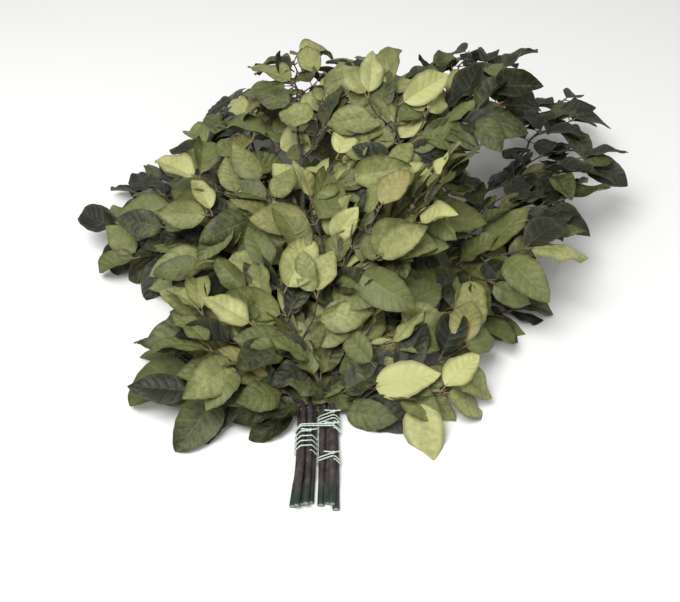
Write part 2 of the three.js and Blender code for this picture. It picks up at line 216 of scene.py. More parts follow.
def stem_joints(stem, index):
    """A stem's joints: a level tail, a lift over the twine, the bound part, then an arc out, up and down again."""
    tail = TAIL + TAIL_EXTRA * series(index + 1)()
    x = seat_x(stem)
    splay = 0.2 * min(x - BUNDLE_X, 0) + 0.35 * stem["seat"]
    low = stem["radius"] * math.cos(math.pi / STEM_SIDES) + stem["row"] * ROW_RISE
    joints = [
        np.array([x + splay, BUNDLE_Y - tail, low]),
        np.array([x + 2 / 3 * splay, BUNDLE_Y - tail + 2 / 3 * TAIL_FLAT, low]),
        np.array([x + splay / 2, BUNDLE_Y - tail + TAIL_FLAT, low]),
        np.array([x, BUNDLE_Y - STRAIGHT, bound_height(stem)]),
        np.array([x, BUNDLE_Y + STRAIGHT, bound_height(stem)]),
    ]
    steps = round(stem["length"] / STEM_STEP)
    for k in range(steps):
        turned = float(ease((k + 1) * STEM_STEP / TURN))
        droop = 0.8 * stem["rise"] * ((k + 1) / steps) ** 2
        swing = turned * (stem["swing"] + 4 * math.sin(1.7 * k + index))
        rise = turned * (stem["rise"] + 2 * math.sin(1.3 * k + 2 * index)) - droop
        joints.append(joints[-1] + STEM_STEP * heading(math.radians(swing), math.radians(rise)))
    return np.array(joints)


def stem_radii(stem, joints):
    """Even through the bound part, then an even taper to the tip."""
    free = np.maximum(np.arange(len(joints)) - FIRST_FREE_JOINT, 0)
    return stem["radius"] + (STEM_TIP_RADIUS - stem["radius"]) * free / free[-1]


def stem_at(grown, share):
    """The point, direction and radius at a share of a stem's way from the bound part to its tip."""
    joints, radii = grown["joints"], grown["radii"]
    place = FIRST_FREE_JOINT + share * (len(joints) - 1 - FIRST_FREE_JOINT)
    i = min(math.floor(place), len(joints) - 2)
    step, taper = joints[i + 1] - joints[i], radii[i + 1] - radii[i]
    return {"point": joints[i] + step * (place - i), "along": unit(step), "radius": radii[i] + taper * (place - i)}


def zigzag_twig(start, along, up, count, radius, first_hand):
    """A zigzag twig of `count` internodes in the plane square to `up`, which droops but stays off the table."""
    points, ways = [start], [along]
    for k in range(count):
        way = turned_about(along, up, (first_hand if k % 2 else -first_hand) * ZIGZAG)
        way[2] -= 0.04 * k
        point = points[-1] + unit(way) * (INTERNODE if k else 0.8 * INTERNODE)
        point[2] = max(point[2], TWIG_LOW)
        ways.append(unit(point - points[-1]))
        points.append(point)
    ways = np.array(ways)
    return {
        "points": np.array(points),
        "ways": ways,
        "across": unit(np.cross(ways, up)),
        "radii": radius + (TWIG_TIP_RADIUS - radius) * np.arange(count + 1) / count,
        "up": up,
        "first_hand": first_hand,
    }


def twigs_try(place, stem, first_hand, terminal, attempt, draw):
    """One try at the three twigs of a spray: a main twig, and a side twig at each of its first two joints."""
    hand = -first_hand if attempt % 2 else first_hand
    across = unit(np.cross(place["along"], UP))
    lift = square_to(UP, place["along"])
    roll = math.radians(10 + 65 * draw() if stem["row"] else 38 * draw())
    if terminal:
        away = math.radians(14 * draw())
    else:
        away = math.radians(28 + 28 * draw() if stem["row"] else 40 + 26 * draw())
    out = across * hand * math.sin(away) * math.cos(roll) + lift * math.sin(away) * math.sin(roll)
    along = place["along"] * math.cos(away) + out
    up = square_to(UP + np.cross(along, UP) * 0.8 * (draw() - 0.5), along)
    reach = GAP if terminal else (place["radius"] + GAP + TWIG_RADIUS) / math.sin(away)
    count = 5 + math.floor(1.4 * draw() + 0.5)
    main = zigzag_twig(place["point"] + along * reach, along, up, count, TWIG_RADIUS, hand)
    twigs = [main]
    for k in (1, 2):
        turn = hand if k % 2 else -hand
        way = turned_about(main["ways"][k], up, turn * FORK)
        twigs.append(zigzag_twig(main["points"][k], way, up, 3, SIDE_TWIG_RADIUS, turn))
    return twigs


def start_corners(twig):
    """The three corners of the flat end that a twig's solid starts with."""
    along = unit(twig["points"][1] - twig["points"][0])
    out = square_to(twig["up"], along)
    angles = (np.arange(3) + 0.5) / 3 * 2 * math.pi
    ring = np.outer(np.cos(angles), out) + np.outer(np.sin(angles), np.cross(along, out))
    return twig["points"][0] + twig["radii"][0] * ring


def leaf_sites(twig, is_side):
    """The leaves wanted on a twig: one at each joint past its side twigs, by turns left and right, and an end leaf."""
    last = len(twig["points"]) - 1
    sites = []
    for k in range(1 if is_side else 3, last + 1):
        size = (0.9 if is_side else 1) * (0.8 + 0.24 * math.sin(math.pi * (k + 0.4) / (last + 1)))
        sites.append((k, hand_at(twig, k), size))
    return [*sites, (last, 0, size * 0.96)]


def leaf_try(twig, k, hand, size, attempt, draw):
    """One try at a leaf at joint k of a twig. Later tries stray further, and are a little smaller."""
    loose = 1 + 0.12 * attempt
    along = twig["ways"][k]
    forward = turned_about(along, twig["up"], hand * math.radians(34 + 30 * draw()))
    forward[2] += loose * (0.4 * draw() - 0.26)
    forward = unit(forward)
    lean = loose * (draw() - 0.5) * 0.8
    up = square_to(twig["up"] + twig["across"][k] * lean, forward)
    length = BLADE * size * (0.86 + 0.28 * draw()) * (1 - 0.012 * attempt)
    root = twig["points"][k] - along * ROOT_BACK
    return {
        "root": root,
        "base": root + forward * PETIOLE,
        "forward": forward,
        "up": up,
        "side": np.cross(up, forward),
        "length": length,
        "width": length * (0.56 + 0.1 * draw()),
        "bend": math.radians(12 + 45 * draw()),
        "twist": math.radians(44 * (draw() - 0.5)),
        "fold": math.radians(6 + 26 * draw()),
    }


def tip_height_and_point(leaf):
    """How high a blade's tip would be, and where it is once the table has stopped it."""
    sine, cosine = math.sin(leaf["bend"]), math.cos(leaf["bend"])
    radius = leaf["length"] / leaf["bend"]
    point = leaf["base"] + leaf["forward"] * radius * sine - leaf["up"] * radius * (1 - cosine)
    height = point[2]
    point[2] = max(height, TIP_LIFT)
    return height, point


def corner_finder(node):
    """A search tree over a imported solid's corners, in millimetres."""
    corners = np.array([v.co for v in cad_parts[node].data.vertices]) / MM
    tree = KDTree(len(corners))
    for i, corner in enumerate(corners):
        tree.insert(corner, i)
    tree.balance()
    return lambda points: all(tree.find(point)[2] < SAME_POINT for point in points)


def grow_spray(name, seed, grown, share, hand, terminal):
    """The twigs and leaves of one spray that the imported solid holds."""
    is_corner = corner_finder(name)
    for attempt in range(TWIG_TRIES):
        place = stem_at(grown, share if terminal else share + SLIDE * attempt)
        twigs = twigs_try(place, grown["stem"], hand, terminal, attempt, series(seed + TWIG_SEED_STEP * attempt))
        if is_corner(start_corners(twigs[0])):
            break
    else:
        raise RuntimeError(f"no try at {name} matches its solid")
    sites = [(twig, *site) for t, twig in enumerate(twigs) for site in leaf_sites(twig, t > 0)]
    leaves = []
    for i, (twig, k, leaf_hand, size) in enumerate(sites):
        draw = series(seed + LEAF_SEED + LEAF_SEED_STEP * i)
        for attempt in range(LEAF_TRIES):
            leaf = leaf_try(twig, k, leaf_hand, size, attempt, draw)
            height, tip = tip_height_and_point(leaf)
            if height >= -PRESSED and is_corner([tip]):
                leaves.append({**leaf, "tip": tip, "shade": 0.0})
                break
    return {"name": name, "twigs": twigs, "leaves": leaves, "place": place, "terminal": terminal}


def leaf_marks(leaf):
    """The middle and the tip of a leaf, which stand for where it is."""
    return [(leaf["base"] + leaf["tip"]) / 2, leaf["tip"]]


def clearance(leaf, marks):
    """How far a leaf's middle and tip are from the marks, at the least."""
    return np.linalg.norm(np.array(leaf_marks(leaf))[:, None] - marks[None], axis=-1).min()


def is_inside(point):
    """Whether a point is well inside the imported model's box."""
    low, high = (np.array(corner) / MM for corner in CAD_BOX)
    return np.all(point[:2] > low[:2] + INNER_MARGIN) and np.all(point < high - INNER_MARGIN)


def inner_leaves(spray, marks):
    """Smaller leaves that fill a spray out underneath, where its solid has none: at each joint the try that keeps
    furthest from the marks around it. Each carries a painted shade, which lowers its tone to stand for the shade
    inside the bunch. The lowest sprays also have some on short spurs of the stem itself. Gives the leaves, and the
    marks with theirs added."""
    spots = [(twig, k) for twig in spray["twigs"] for k in range(len(twig["points"]) - 1)]
    if spray["share"] < LOW_SHARE:
        spots += [(stem_spur(spray["grown"], spray["share"], n), 0) for n in range(SPURS)]
    found = []
    for i, (twig, k) in enumerate(spots):
        draw = series(spray["seed"] + INNER_SEED + INNER_SEED_STEP * i)
        tries = []
        for n in range(INNER_TRIES):
            hand = 1 if n % 2 else -1
            leaf = leaf_try(twig, k, hand, 0.72 + 0.2 * draw(), 4 + n % 3, draw)
            height, leaf["tip"] = tip_height_and_point(leaf)
            if height > -PRESSED and is_inside(leaf["tip"]):
                tries.append((clearance(leaf, marks), n, leaf))
        if tries and max(tries)[0] > INNER_CLEARANCE:
            # The inner leaf is darkened with painted shade, for the shade inside the bunch
            leaf = {**max(tries)[2], "shade": INNER_PAINTED_SHADE}
            found.append(leaf)
            marks = np.concatenate([marks, leaf_marks(leaf)])
    return found, marks


def stem_spur(grown, share, n):
    """A very short side twig of a stem, given as a joint that a leaf can spring from."""
    place = stem_at(grown, max(0.0, share - 0.02) + 0.035 * n)
    lift = square_to(UP, place["along"])
    across = np.cross(place["along"], lift)
    out = unit(0.5 * lift + across * (1 if n % 2 else -1))
    way = unit(place["along"] + 0.5 * out)
    point = place["point"] + out * place["radius"] + way * ROOT_BACK
    return {"points": [point], "ways": [way], "across": [unit(np.cross(way, lift))], "up": square_to(lift, way)}


def grow_bunch():
    """All stems, and all sprays that were grown on them."""
    stems, sprays = [], []
    for i, stem in enumerate(STEMS):
        joints = stem_joints(stem, i)
        grown = {"name": f"stem_{i + 1:02d}", "stem": stem, "joints": joints, "radii": stem_radii(stem, joints)}
        stems.append(grown)
        for j in range(stem["sprays"]):
            name = f"spray_{i + 1:02d}{'abcdef'[j]}"
            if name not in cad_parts:
                continue
            steps = (j - 1) / (stem["sprays"] - 1)
            share = FIRST_SPRAY + (LAST_SPRAY - FIRST_SPRAY) * steps if j else 1
            hand = 1 if (i + j) % 2 else -1
            seed = stem["seed"] + SPRAY_SEED_STEP * j
            spray = grow_spray(name, seed, grown, share, hand, j == 0)
            spray.update(grown=grown, share=share, seed=seed)
            sprays.append(spray)
    marks = [mark for spray in sprays for leaf in spray["leaves"] for mark in leaf_marks(leaf)]
    marks = np.array(marks + [joint for spray in sprays for twig in spray["twigs"] for joint in twig["points"]])
    for spray in sprays:
        inner, marks = inner_leaves(spray, marks)
        spray["leaves"] += inner
    return stems, sprays


# Surfaces

SHARP_ANGLE = math.radians(100)
CLEAR_OF_TABLE = 0.02


def smooth_curve(points, per_span):
    """A Catmull-Rom curve through the points: in each span a cubic whose slope at a point is half the step between
    its neighbours."""
    padded = np.concatenate([2 * points[:1] - points[1:2], points, 2 * points[-1:] - points[-2:-1]])
    place = np.linspace(0, len(points) - 1, per_span * (len(points) - 1) + 1)
    i = np.minimum(place.astype(int), len(points) - 2)
    t = (place - i)[:, None]
    a, b, c, d = (padded[i + k] for k in range(4))
    line = 2 * b + (c - a) * t
    return 0.5 * (line + (2 * a - 5 * b + 4 * c - d) * t**2 + (3 * b - a - 3 * c + d) * t**3)


def even_steps(points, step):
    """A path of the same shape with points about `step` apart, measured along it."""
    lengths = way_along(points)
    marks = np.linspace(0, lengths[-1], max(4, round(lengths[-1] / step)))
    return np.stack([np.interp(marks, lengths, points[:, i]) for i in range(3)], axis=1), marks


class Surface:
    """Corners, faces and per-corner values of one mesh, gathered piece by piece."""

    def __init__(self):
        self.corners, self.quads, self.triangles, self.count = [], [], [], 0
        self.values = {}

    def add(self, corners, quads, triangles, **values):
        corners = corners.reshape(-1, 3)
        self.corners.append(corners)
        self.quads.append(quads.reshape(-1, 4) + self.count)
        self.triangles.append(triangles.reshape(-1, 3) + self.count)
        self.count += len(corners)
        for name, value in values.items():
            self.values.setdefault(name, []).append(value)

    def to_object(self, name, material):
        """An object at the origin, in metres, smooth-shaded up to its sharp margins."""
        mesh = bpy.data.meshes.new(name)
        faces = np.concatenate(self.quads).tolist() + np.concatenate(self.triangles).tolist()
        mesh.from_pydata((np.concatenate(self.corners) * MM).tolist(), [], faces)
        for attribute, parts in self.values.items():
            layer = mesh.attributes.new(attribute, "FLOAT_VECTOR", "POINT")
            layer.data.foreach_set("vector", np.concatenate(parts).astype(np.float32).ravel())
        mesh.polygons.foreach_set("use_smooth", np.ones(len(mesh.polygons), bool))
        mesh.materials.append(material)
        mesh.update()
        mesh.set_sharp_from_angle(angle=SHARP_ANGLE)
        made = bpy.data.objects.new(name, mesh)
        bpy.context.scene.collection.objects.link(made)
        return made


def closed_faces(count, rings, sides, swap=False):
    """Faces of `count` closed surfaces, each of `rings` rings of `sides` corners followed by two end corners: quads
    between the rings, and a fan to each end corner."""
    size = rings * sides + 2
    start = (np.arange(count) * size)[:, None, None]
    ring = (np.arange(rings - 1) * sides)[None, :, None]
    k = np.arange(sides)[None, None, :]
    after = (k + 1) % sides
    near, far = start + ring, start + ring + sides
    quads = np.stack([near + k, near + after, far + after, far + k], axis=-1)
    k, after, first = k[0], after[0], start[:, 0]
    last = first + (rings - 1) * sides
    end = last + sides + 0 * k
    near_fan = np.stack([end, first + after, first + k], axis=-1)
    far_fan = np.stack([end + 1, last + k, last + after], axis=-1)
    fans = np.concatenate([near_fan, far_fan], axis=1)
    if swap:
        return quads[..., ::-1], fans[..., ::-1]
    return quads, fans


def add_tubes(surface, paths, radii, sides, facing, profile=None, **values):
    """Closed tubes: a ring carried along each path, at radius r and angle a from the way that faces `facing`. Each
    corner is the path's point + r cos a outwards + r sin a across. `profile` multiplies the radius ring by ring."""
    paths = np.asarray(paths, float)
    count, rings = paths.shape[:2]
    along = unit(np.gradient(paths, axis=1))
    out = square_to(np.broadcast_to(np.asarray(facing, float).reshape(-1, 1, 3), paths.shape), along)
    across = np.cross(along, out)
    angle = np.arange(sides) / sides * 2 * math.pi
    reach = np.broadcast_to(radii, (count, rings))[..., None] * np.ones(sides)
    if profile is not None:
        reach = reach * profile
    outwards, sideways = (reach * np.cos(angle))[..., None], (reach * np.sin(angle))[..., None]
    ring = paths[:, :, None] + outwards * out[:, :, None] + sideways * across[:, :, None]
    corners = np.concatenate([ring.reshape(count, -1, 3), paths[:, :1], paths[:, -1:]], axis=1)
    full = {}
    for name, value in values.items():
        value = np.broadcast_to(value, (count, rings, 3))
        ringed = np.repeat(value, sides, axis=1)
        full[name] = np.concatenate([ringed, value[:, :1], value[:, -1:]], axis=1).reshape(-1, 3)
    surface.add(corners, *closed_faces(count, rings, sides), **full)


def on_the_table(points, lowest, softness):
    """Raises what is near or under the table: a height h over the lowest becomes half of h + sqrt(h^2 + 4 s^2), where
    s is the softness."""
    height = points[..., 2] - lowest
    points[..., 2] = lowest + 0.5 * (height + np.sqrt(height**2 + 4 * softness**2))
    return points


# Leaves

STATIONS = 28
ACROSS = np.array([-1, -0.66, -0.33, -0.07, 0, 0.07, 0.33, 0.66, 1.0])
MIDDLE = 4
UNDERSIDE = slice(-2, 0, -1)
WIDEST = 0.3579
STALK_ROUND = 8
PETIOLE_RADII = np.array([1.05, 0.85, 0.68, 0.6, 0.55, 0.5, 0.3])
IS_STALK = np.array([0.0, 0.0, 2.0])


def blade_outline(along):
    """Half width over the widest half width: a^0.62 (1 - a)^0.9, scaled to reach 1."""
    return along**0.62 * (1 - along) ** 0.9 / WIDEST


def blade_sheets(leaves, settings, random):
    """The middle sheets of blades, a grid with p along the midrib and q across it. A point is carried along an arc
    that bends down by `bend` and rolls by `twist`, and its halves are folded up by `fold`. The rows sweep forward like
    the side veins: along = p + 0.8 |q| p (1 - p). Off the plane the sheet rises between side veins by
    -cos(2 pi veins p), its margin waves by q^2 sin(along) and curls by |q|^3, and the whole cups by q |q|."""
    facts = {key: np.array([leaf[key] for leaf in leaves]) for key in leaves[0]}
    count = len(leaves)
    p = np.linspace(0, 1, STATIONS + 1)[:, None]
    q = ACROSS[None, :]
    along = (p + 0.8 * np.abs(q) * p * (1 - p))[None]
    veins = settings.veins
    teeth = 1 + settings.teeth * (0.5 + 0.5 * np.cos(2 * math.pi * veins * p)) * np.abs(q)

    def per_leaf(low, high):
        return random.uniform(low, high, count)[:, None, None]

    def spread(key):
        return facts[key][:, None, None]

    half = 0.5 * spread("width") * blade_outline(along) * teeth
    across = q * half
    span = np.sqrt(across**2 + 1.0) - 1.0
    bend, roll = spread("bend") * along, spread("twist") * along
    sine, cosine = np.sin(bend)[..., None], np.cos(bend)[..., None]
    forward, up, side = (facts[key][:, None, None, :] for key in ("forward", "up", "side"))
    bent = up * cosine + forward * sine
    rolled = side * np.cos(roll)[..., None] + bent * np.sin(roll)[..., None]
    risen = bent * np.cos(roll)[..., None] - side * np.sin(roll)[..., None]
    wave = settings.wave * per_leaf(0.4, 1.3) * np.sin(
        2 * math.pi * per_leaf(1.3, 2.4) * along + per_leaf(0, 6.3) + 1.3 * np.sign(q) * per_leaf(0, 1)
    )
    curl = per_leaf(-1.3, 0.9) * settings.curl
    cup = per_leaf(-1.0, 0.6) * settings.curl * np.sin(math.pi * along) * np.sign(q) * q
    envelope = np.minimum(1, 3 * np.abs(q)) * (1 - 0.6 * q**4) * (4 * p * (1 - p)) ** 0.4
    ribs = -settings.corrugation * per_leaf(0.7, 1.3) * envelope * np.cos(2 * math.pi * veins * p)
    taper = np.minimum(1, half / 8)
    lift = (wave * q**2 + curl * np.abs(q) ** 3 + cup + ribs) * taper + span * np.sin(spread("fold"))
    arc = (spread("length") / spread("bend"))[..., None]
    sheet = (
        facts["base"][:, None, None, :]
        + forward * arc * sine
        - up * arc * (1 - cosine)
        + rolled * (across * np.cos(spread("fold")))[..., None]
        + risen * lift[..., None]
    )
    return on_the_table(sheet, 0.45, 0.5), np.broadcast_to(p, (STATIONS + 1, len(ACROSS)))


def add_blades(surface, leaves, settings, random, look):
    """Closed blades: the sheet plus and minus half its thickness along its normal, sharp at the margin, with the
    midrib standing out below."""
    sheet, p = blade_sheets(leaves, settings, random)
    count = len(leaves)
    along = np.gradient(sheet, axis=1)
    normal = unit(np.cross(along, np.gradient(sheet, axis=2)))
    normal[:, 0], normal[:, -1] = normal[:, 1], normal[:, -2]
    q = ACROSS[None, None, :]
    station = p[None]
    half = 0.5 * settings.thickness / MM * (1 - 0.9 * q**2)
    rib = settings.midrib / MM * (1 - 0.8 * station) * np.exp(-((q / 0.07) ** 2))
    groove = 0.25 * settings.midrib / MM * (1 - station) * np.exp(-((q / 0.06) ** 2))
    top = sheet + normal * (half - groove)[..., None]
    bottom = sheet - normal * (half + rib)[..., None]
    rings = np.concatenate([top, bottom[:, :, UNDERSIDE]], axis=2)
    rings[..., 2] = np.maximum(rings[..., 2], CLEAR_OF_TABLE)
    inner = rings[:, 1:-1]
    sides = inner.shape[2]
    corners = np.concatenate([inner.reshape(count, -1, 3), sheet[:, :1, MIDDLE], sheet[:, -1:, MIDDLE]], axis=1)

    vein = settings.veins * p
    across = np.broadcast_to(ACROSS, vein.shape)
    under = np.zeros_like(vein)
    faces = ((vein, vein), (across, across), (under, under + 1))
    ring = np.stack([np.concatenate([over, below[:, UNDERSIDE]], axis=1) for over, below in faces], axis=-1)
    ends = np.array([[0, 0, 0.5], [settings.veins, 0, 0.5]])
    one = np.concatenate([ring[1:-1].reshape(-1, 3), ends])
    blade = np.broadcast_to(one, (count, *one.shape)).reshape(-1, 3)
    looks = np.broadcast_to(look[:, None, :], corners.shape).reshape(-1, 3)
    quads, fans = closed_faces(count, STATIONS - 1, sides, swap=True)
    surface.add(corners, quads, fans, blade=blade, look=looks)
    return sheet


def add_petioles(surface, leaves, sheet, look):
    """Stalks from inside the twig to the blade's base, where they run out into the midrib: a tapering tube along a
    curve through the root, the base and the first of the midrib."""
    root = np.array([leaf["root"] for leaf in leaves])
    base, into = sheet[:, 0, MIDDLE], sheet[:, 2, MIDDLE]
    t = np.linspace(0, 1, len(PETIOLE_RADII))[None, :, None]
    curve = root[:, None] * (1 - t) ** 2 + 2 * base[:, None] * t * (1 - t) + into[:, None] * t**2
    facing = np.array([leaf["up"] for leaf in leaves])
    add_tubes(surface, curve, PETIOLE_RADII[None], STALK_ROUND, facing, blade=IS_STALK, look=look[:, None, :])


# Stems, twigs and twine

STEM_ROUND, TWIG_ROUND, BUD_ROUND, TWINE_ROUND = 20, 9, 7, 12
STEM_RING_STEP = 3.5
STEM_NODE_STEP = 31.0
CUT_CHAMFER = 0.2
IS_CUT_END = (0.0, 1.0, -1.0)
BUD_SHARES = np.array([0.0, 0.12, 0.3, 0.5, 0.7, 0.87, 1.0])
BUD_GIRTH = np.array([0.55, 0.8, 1.0, 0.95, 0.7, 0.4, 0.08])
BUD_LOW = 1.0
IS_BUD = np.array([0.0, 0.0, 1.0])
WIND_STEPS = 120
WIND_START = 0.5 / 14
TWINE_STEP = 0.55
KNOT_SCALE = 0.52


def bark_radii(marks, radii, random, nodes):
    """The radius along a piece of wood: the plain taper, a slow unevenness of three sines, and a swelling of
    0.16 / (1 + (d / 3.2)^2) at each node, where d is how far off it is."""
    waves = sum(0.012 * math.sqrt(k) * np.sin(marks / (22 / k) + random.uniform(0, 6.3)) for k in (1, 2, 4))
    swelling = sum((0.16 / (1 + ((marks - node) / 3.2) ** 2) for node in nodes), np.zeros_like(marks))
    return radii * (1 + waves + swelling)


def add_stem(surface, grown, random):
    """A stem as a smooth tube through its joints, with a chamfered cut at its foot and a node every 31 mm."""
    path, marks = even_steps(smooth_curve(grown["joints"], 10), STEM_RING_STEP)
    lengths = way_along(grown["joints"])
    plain = np.interp(np.linspace(0, 1, len(marks)) * lengths[-1], lengths, grown["radii"])
    nodes = np.arange(STRAIGHT * 2 + TAIL, lengths[-1], STEM_NODE_STEP) + random.uniform(-4, 4)
    thick = bark_radii(marks, plain, random, nodes)
    path = np.concatenate([path[:1], path[:1] + (path[1:2] - path[:1]) * 0.08, path[1:]])
    thick = np.concatenate([[thick[0] * 0.9], thick])
    marks = np.concatenate([[0.0, CUT_CHAMFER], marks[1:]])
    ring = np.stack([marks, 0 * marks, 0 * marks - 1], axis=1)[None]
    add_tubes(surface, path[None], thick[None], STEM_ROUND, UP, wood=ring)
    corners, values = surface.corners[-1], surface.values["wood"][-1]
    corners[:, 2] = np.maximum(corners[:, 2], CLEAR_OF_TABLE)
    values[-2] = IS_CUT_END


def add_twig(surface, twig, start, random):
    """A twig as a smooth tube through its joints, swollen at each, and pointed where it ends in a bud."""
    points = np.concatenate([[start], twig["points"]])
    radii = np.concatenate([[twig["radii"][0] * 1.1], twig["radii"]])
    path = smooth_curve(points, 5)
    place = np.linspace(0, len(points) - 1, len(path))
    marks = way_along(path)
    nodes = np.interp(np.arange(2, len(points)), place, marks) - ROOT_BACK
    plain = np.interp(place, np.arange(len(points)), radii)
    thick = bark_radii(marks, plain, random, nodes)
    ring = np.stack([marks, 0 * marks, 0 * marks], axis=1)[None]
    add_tubes(surface, path[None], thick[None], TWIG_ROUND, twig["up"], wood=ring)


def add_buds(surface, twig, settings, random):
    """Slender pointed buds: a spindle in the angle of each leaf stalk, and a longer one at the twig's end."""
    starts, ways, lengths = [], [], []
    last = len(twig["points"]) - 1
    for k in range(1, last + 1):
        tilt = hand_at(twig, k) * 0.45 * random.uniform(0.7, 1.3)
        starts.append(twig["points"][k] - twig["ways"][k] * 3.2)
        ways.append(turned_about(twig["ways"][k], twig["up"], tilt))
        lengths.append(settings.bud / MM * random.uniform(0.7, 1.1))
    starts.append(twig["points"][last] - twig["ways"][last] * 0.8)
    ways.append(turned_about(twig["ways"][last], twig["up"], random.uniform(-0.15, 0.15)))
    lengths.append(settings.bud / MM * 1.35)
    starts, ways, lengths = np.array(starts), np.array(ways), np.array(lengths)
    paths = starts[:, None] + ways[:, None] * (lengths[:, None] * BUD_SHARES)[..., None]
    paths[..., 2] = np.maximum(paths[..., 2], BUD_LOW)
    girth = lengths[:, None] * 0.095 * BUD_GIRTH
    add_tubes(surface, paths, girth, BUD_ROUND, twig["up"], wood=IS_BUD)


def winding_path(names, y, pitch, turns):
    """The middle line of twine wound round stems. Seen along the bunch it is the tight line around circles, each as
    big as its stem, the gap and the twine: at each angle the circle that reaches furthest out gives the point."""
    centres = np.array([[seat_x(stem), bound_height(stem)] for stem in HANDFULS[names]])
    reach = np.array([stem["radius"] + GAP + TWINE_RADIUS for stem in HANDFULS[names]])
    share = np.linspace(0, turns, WIND_STEPS * turns + 1)
    angle = (share + WIND_START) * 2 * math.pi
    out = np.stack([np.sin(angle), np.cos(angle)], axis=1)
    best = (out @ centres.T + reach).argmax(axis=1)
    ring = centres[best] + reach[best, None] * out
    return np.stack([ring[:, 0], y + pitch * share, ring[:, 1]], axis=1)


def add_twine(surface, path, facing, settings, ends=1.0):
    """Two-ply twine: a two-lobed ring, 0.74 + 0.3 |cos(a - twist)|, that makes half a turn in each length of lay."""
    path, marks = even_steps(path, TWINE_STEP)
    angle = np.arange(TWINE_ROUND) / TWINE_ROUND * 2 * math.pi
    twist = marks / (settings.lay / MM) * math.pi
    profile = 0.74 + 0.3 * np.abs(np.cos(angle[None, :] - twist[:, None]))
    taper = np.minimum(1, 0.35 + np.minimum(marks, marks[-1] - marks) / ends)
    ring = np.stack([marks, twist, 0 * marks], axis=1)[None]
    reach = (TWINE_RADIUS * taper)[None]
    add_tubes(surface, path[None], reach, TWINE_ROUND, facing, profile=profile[None], twine=ring)


def add_knot(surface, place, settings):
    """A trefoil knot, sin t + 2 sin 2t across, 0.8 (cos t - 2 cos 2t) along and -sin 3t up, with two short tails."""
    middle = place + KNOT_RISE * 0.8
    t = np.linspace(0, 2 * math.pi, 60)
    across, along = np.sin(t) + 2 * np.sin(2 * t), 0.8 * (np.cos(t) - 2 * np.cos(2 * t))
    knot = np.stack([across, along, -np.sin(3 * t)], axis=1)
    add_twine(surface, middle + KNOT_SCALE * knot, (0, 0, 1), settings)
    for reach in TWINE_TAILS:
        bend = middle + np.array([0.55 * reach, 0.6, 0.5])
        end = middle + np.array([reach, 1.6, -0.4])
        add_twine(surface, smooth_curve(np.array([middle, bend, end]), 8), (0, 1, 0), settings, ends=1.5)


# Shader expressions


class Wire:
    """A shader socket that can be used in Python expressions. Numbers go through Math nodes, vectors through Vector
    Math nodes."""

    def __init__(self, shader, socket):
        self.shader, self.socket = shader, socket

    def _math(self, operation, first, second=0.0):
        vector = any(isinstance(v, Wire) and v.socket.type in ("VECTOR", "RGBA") for v in (first, second))
        kind = "ShaderNodeVectorMath" if vector else "ShaderNodeMath"
        return self.shader.node(kind, {"operation": operation}, {0: first, 1: second})

    def __add__(self, other):
        return self._math("ADD", self, other)

    def __sub__(self, other):
        return self._math("SUBTRACT", self, other)

    def __rsub__(self, other):
        return self._math("SUBTRACT", other, self)

    def __mul__(self, other):
        return self._math("MULTIPLY", self, other)

    __radd__ = __add__

    def __abs__(self):
        return self._math("ABSOLUTE", self)

    def fraction(self):
        return self._math("FRACT", self)

    def step(self, low, high):
        """A smooth step from 0 at `low` to 1 at `high`."""
        inputs = {"Value": self, "From Min": low, "From Max": high, "To Min": 0.0, "To Max": 1.0}
        return self.shader.node("ShaderNodeMapRange", {"interpolation_type": "SMOOTHSTEP"}, inputs)

    def part(self, name):
        """One of X, Y and Z of a vector."""
        return self.shader.node("ShaderNodeSeparateXYZ", {}, {0: self}, name)


class Shader:
    """Builds one node material around a Principled shader."""

    def __init__(self, name):
        self.material = bpy.data.materials.new(name)
        self.material.use_nodes = True
        self.tree = self.material.node_tree
        self.principled = self.tree.nodes["Principled BSDF"]

    def node(self, kind, settings, inputs, output=0):
        """Adds a node, with its settings first and then the values or wires of its sockets."""
        made = self.tree.nodes.new(kind)
        for key, value in settings.items():
            setattr(made, key, value)
        for key, value in inputs.items():
            self.feed(made.inputs[key], value)
        return Wire(self, made.outputs[output])

    def feed(self, socket, value):
        if isinstance(value, Wire):
            self.tree.links.new(value.socket, socket)
        elif socket.type == "RGBA":
            socket.default_value = (*value, 1.0)
        elif socket.type == "VECTOR" and not hasattr(value, "__len__"):
            socket.default_value = (value,) * 3
        else:
            socket.default_value = value

    def place(self):
        """Object coordinates, in metres."""
        return self.node("ShaderNodeTexCoord", {}, {}, "Object")

    def attribute(self, name):
        return self.node("ShaderNodeAttribute", {"attribute_name": name}, {}, "Vector")

    def noise(self, scale, detail=2.0, where=None):
        inputs = {"Vector": where or self.place(), "Scale": scale, "Detail": detail}
        return self.node("ShaderNodeTexNoise", {}, inputs, 0)

    def mix(self, share, one, other):
        """One colour at 0 and the other at 1."""
        inputs = {0: share, 6: one, 7: other}
        return self.node("ShaderNodeMix", {"data_type": "RGBA"}, inputs, 2)

    def tint(self, colour, tints):
        """A colour with others mixed over it in turn, each with its share."""
        for share, other in tints:
            colour = self.mix(share, colour, other)
        return colour

    def finish(self, colour, roughness, height, distance, **fixed):
        """Feeds the Principled shader: colour, roughness, a bump from a height, and plain numbers."""
        normal = self.node("ShaderNodeBump", {}, {"Height": height, "Distance": distance, "Strength": 1.0})
        for key, value in {"Base Color": colour, "Roughness": roughness, "Normal": normal, **fixed}.items():
            self.feed(self.principled.inputs[key.replace("_", " ")], value)
        return self.material


def linear(code):
    """A six-digit colour code as scene-linear red, green and blue."""
    shares = [int(code[i : i + 2], 16) / 255 for i in (0, 2, 4)]
    return tuple(s / 12.92 if s <= 0.04045 else ((s + 0.055) / 1.055) ** 2.4 for s in shares)


